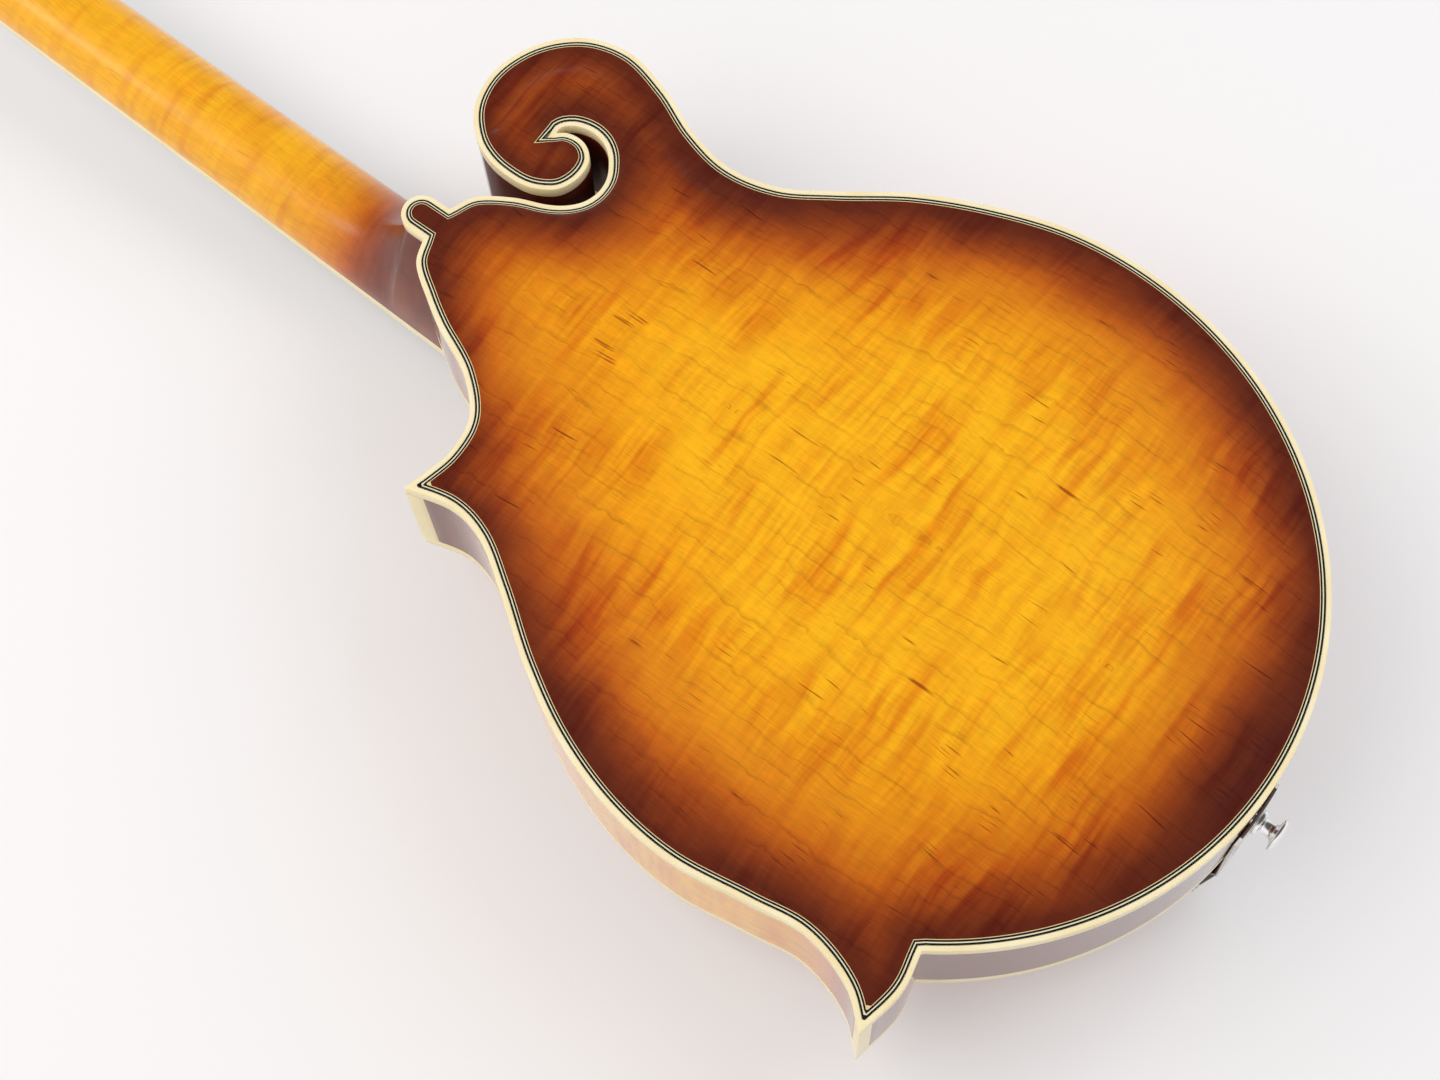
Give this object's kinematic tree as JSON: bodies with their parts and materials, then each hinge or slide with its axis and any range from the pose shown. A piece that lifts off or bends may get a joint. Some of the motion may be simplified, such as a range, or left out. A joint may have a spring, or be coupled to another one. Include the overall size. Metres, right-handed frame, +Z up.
{
  "type": "octave mandolin",
  "caption": "Octave mandolin with a scroll body and pointed bouts, carved arched top and back, adjustable bridge, hinged tailpiece cover and geared tuners.",
  "frame": {"origin": "middle of the neck at the nut, on the plane that the fingerboard is glued to", "axes": "+Z runs up the body towards the headstock, +X is the treble side with the body points, +Y is the back of the instrument"},
  "size_m": [0.314, 0.1143, 0.8846],
  "materials": {
    "sunburst_maple": "flamed maple under a glossy sunburst lacquer",
    "sunburst_spruce": "straight-grained spruce under a glossy sunburst lacquer",
    "amber_maple": "flamed maple under a glossy amber lacquer",
    "raw_spruce": "bare sanded wood",
    "cream_binding": "polished cream plastic",
    "ebony": "oiled ebony",
    "bone": "polished bone",
    "nickel": "bright nickel plate",
    "steel": "plain steel",
    "bronze": "bronze string winding",
    "pearloid": "pearly plastic on a nickel shaft"
  },
  "bodies": {
    "instrument": {"top_plate": "sunburst_spruce", "back_plate": "sunburst_maple", "rim": "sunburst_maple", "neck": "amber_maple", "neck_block": "raw_spruce", "tail_block": "raw_spruce", "point_block_upper": "raw_spruce", "point_block_lower": "raw_spruce", "scroll_block": "raw_spruce", "lining_top": "raw_spruce", "lining_back": "raw_spruce", "tone_bar_bass": "raw_spruce", "tone_bar_treble": "raw_spruce", "binding_top": "cream_binding", "binding_back": "cream_binding", "fingerboard_binding": "cream_binding", "point_guard_upper": "cream_binding", "point_guard_lower": "cream_binding", "fingerboard": "ebony", "head_overlay": "ebony", "truss_cover": "ebony", "bridge_base": "ebony", "nut": "bone", "tuner_plate_bass": "nickel", "tuner_plate_treble": "nickel", "bridge_stud_bass": "nickel", "bridge_stud_treble": "nickel", "tailpiece_base": "nickel", "strap_button": "nickel", "truss_rod": "steel", "tailpiece_hinge_pin": "steel", "string_A1": "steel", "string_A2": "steel", "string_E1": "steel", "string_E2": "steel", "string_G1": "bronze", "string_G2": "bronze", "string_D1": "bronze", "string_D2": "bronze"},
    "knob_bass_1": {"tuner_knob_bass_1": "pearloid"},
    "post_bass_1": {"string_post_bass_1": "nickel"},
    "knob_bass_2": {"tuner_knob_bass_2": "pearloid"},
    "post_bass_2": {"string_post_bass_2": "nickel"},
    "knob_bass_3": {"tuner_knob_bass_3": "pearloid"},
    "post_bass_3": {"string_post_bass_3": "nickel"},
    "knob_bass_4": {"tuner_knob_bass_4": "pearloid"},
    "post_bass_4": {"string_post_bass_4": "nickel"},
    "knob_treble_1": {"tuner_knob_treble_1": "pearloid"},
    "post_treble_1": {"string_post_treble_1": "nickel"},
    "knob_treble_2": {"tuner_knob_treble_2": "pearloid"},
    "post_treble_2": {"string_post_treble_2": "nickel"},
    "knob_treble_3": {"tuner_knob_treble_3": "pearloid"},
    "post_treble_3": {"string_post_treble_3": "nickel"},
    "knob_treble_4": {"tuner_knob_treble_4": "pearloid"},
    "post_treble_4": {"string_post_treble_4": "nickel"},
    "saddle": {"bridge_saddle": "ebony"},
    "wheel_bass": {"bridge_wheel_bass": "nickel"},
    "wheel_treble": {"bridge_wheel_treble": "nickel"},
    "lid": {"tailpiece_lid": "nickel"}
  },
  "joints": [
    {"name": "knob_bass_1_turn", "type": "hinge", "parent": "instrument", "child": "knob_bass_1", "pos_m": [-0.02, 0.03116, 0.03672], "axis": [1, 0, 0], "continuous": true},
    {"name": "post_bass_1_turn", "type": "hinge", "parent": "instrument", "child": "post_bass_1", "pos_m": [-0.02, 0.00962, 0.03352], "axis": [0, 0.9511, -0.309], "continuous": true},
    {"name": "knob_bass_2_turn", "type": "hinge", "parent": "instrument", "child": "knob_bass_2", "pos_m": [-0.02, 0.03827, 0.05859], "axis": [1, 0, 0], "continuous": true},
    {"name": "post_bass_2_turn", "type": "hinge", "parent": "instrument", "child": "post_bass_2", "pos_m": [-0.02, 0.01673, 0.05539], "axis": [0, 0.9511, -0.309], "continuous": true},
    {"name": "knob_bass_3_turn", "type": "hinge", "parent": "instrument", "child": "knob_bass_3", "pos_m": [-0.02, 0.04538, 0.08047], "axis": [1, 0, 0], "continuous": true},
    {"name": "post_bass_3_turn", "type": "hinge", "parent": "instrument", "child": "post_bass_3", "pos_m": [-0.02, 0.02383, 0.07727], "axis": [0, 0.9511, -0.309], "continuous": true},
    {"name": "knob_bass_4_turn", "type": "hinge", "parent": "instrument", "child": "knob_bass_4", "pos_m": [-0.02, 0.05248, 0.10234], "axis": [1, 0, 0], "continuous": true},
    {"name": "post_bass_4_turn", "type": "hinge", "parent": "instrument", "child": "post_bass_4", "pos_m": [-0.02, 0.03094, 0.09914], "axis": [0, 0.9511, -0.309], "continuous": true},
    {"name": "knob_treble_1_turn", "type": "hinge", "parent": "instrument", "child": "knob_treble_1", "pos_m": [0.02, 0.03116, 0.03672], "axis": [1, 0, 0], "continuous": true},
    {"name": "post_treble_1_turn", "type": "hinge", "parent": "instrument", "child": "post_treble_1", "pos_m": [0.02, 0.00962, 0.03352], "axis": [0, 0.9511, -0.309], "continuous": true},
    {"name": "knob_treble_2_turn", "type": "hinge", "parent": "instrument", "child": "knob_treble_2", "pos_m": [0.02, 0.03827, 0.05859], "axis": [1, 0, 0], "continuous": true},
    {"name": "post_treble_2_turn", "type": "hinge", "parent": "instrument", "child": "post_treble_2", "pos_m": [0.02, 0.01673, 0.05539], "axis": [0, 0.9511, -0.309], "continuous": true},
    {"name": "knob_treble_3_turn", "type": "hinge", "parent": "instrument", "child": "knob_treble_3", "pos_m": [0.02, 0.04538, 0.08047], "axis": [1, 0, 0], "continuous": true},
    {"name": "post_treble_3_turn", "type": "hinge", "parent": "instrument", "child": "post_treble_3", "pos_m": [0.02, 0.02383, 0.07727], "axis": [0, 0.9511, -0.309], "continuous": true},
    {"name": "knob_treble_4_turn", "type": "hinge", "parent": "instrument", "child": "knob_treble_4", "pos_m": [0.02, 0.05248, 0.10234], "axis": [1, 0, 0], "continuous": true},
    {"name": "post_treble_4_turn", "type": "hinge", "parent": "instrument", "child": "post_treble_4", "pos_m": [0.02, 0.03094, 0.09914], "axis": [0, 0.9511, -0.309], "continuous": true},
    {"name": "saddle_lift", "type": "slide", "parent": "instrument", "child": "saddle", "axis": [0, 1, 0], "range_m": [0, 0.0014]},
    {"name": "wheel_bass_turn", "type": "hinge", "parent": "saddle", "child": "wheel_bass", "pos_m": [-0.03, -0.0426, -0.55678], "axis": [0, 1, 0], "range_deg": [0, 720]},
    {"name": "wheel_treble_turn", "type": "hinge", "parent": "saddle", "child": "wheel_treble", "pos_m": [0.03, -0.0426, -0.55678], "axis": [0, 1, 0], "range_deg": [0, 720]},
    {"name": "lid_hinge", "type": "hinge", "parent": "instrument", "child": "lid", "pos_m": [0, -0.0376, -0.71598], "axis": [1, 0, 0], "range_deg": [0, 90]}
  ],
  "couplings": [
    {"joint": "post_bass_1_turn", "follows": "knob_bass_1_turn", "ratio": 0.071429},
    {"joint": "post_bass_2_turn", "follows": "knob_bass_2_turn", "ratio": 0.071429},
    {"joint": "post_bass_3_turn", "follows": "knob_bass_3_turn", "ratio": 0.071429},
    {"joint": "post_bass_4_turn", "follows": "knob_bass_4_turn", "ratio": 0.071429},
    {"joint": "post_treble_1_turn", "follows": "knob_treble_1_turn", "ratio": 0.071429},
    {"joint": "post_treble_2_turn", "follows": "knob_treble_2_turn", "ratio": 0.071429},
    {"joint": "post_treble_3_turn", "follows": "knob_treble_3_turn", "ratio": 0.071429},
    {"joint": "post_treble_4_turn", "follows": "knob_treble_4_turn", "ratio": 0.071429},
    {"joint": "saddle_lift", "follows": "wheel_bass_turn", "m_per_rad": 0.00011141},
    {"joint": "wheel_treble_turn", "follows": "wheel_bass_turn", "ratio": 1}
  ]
}
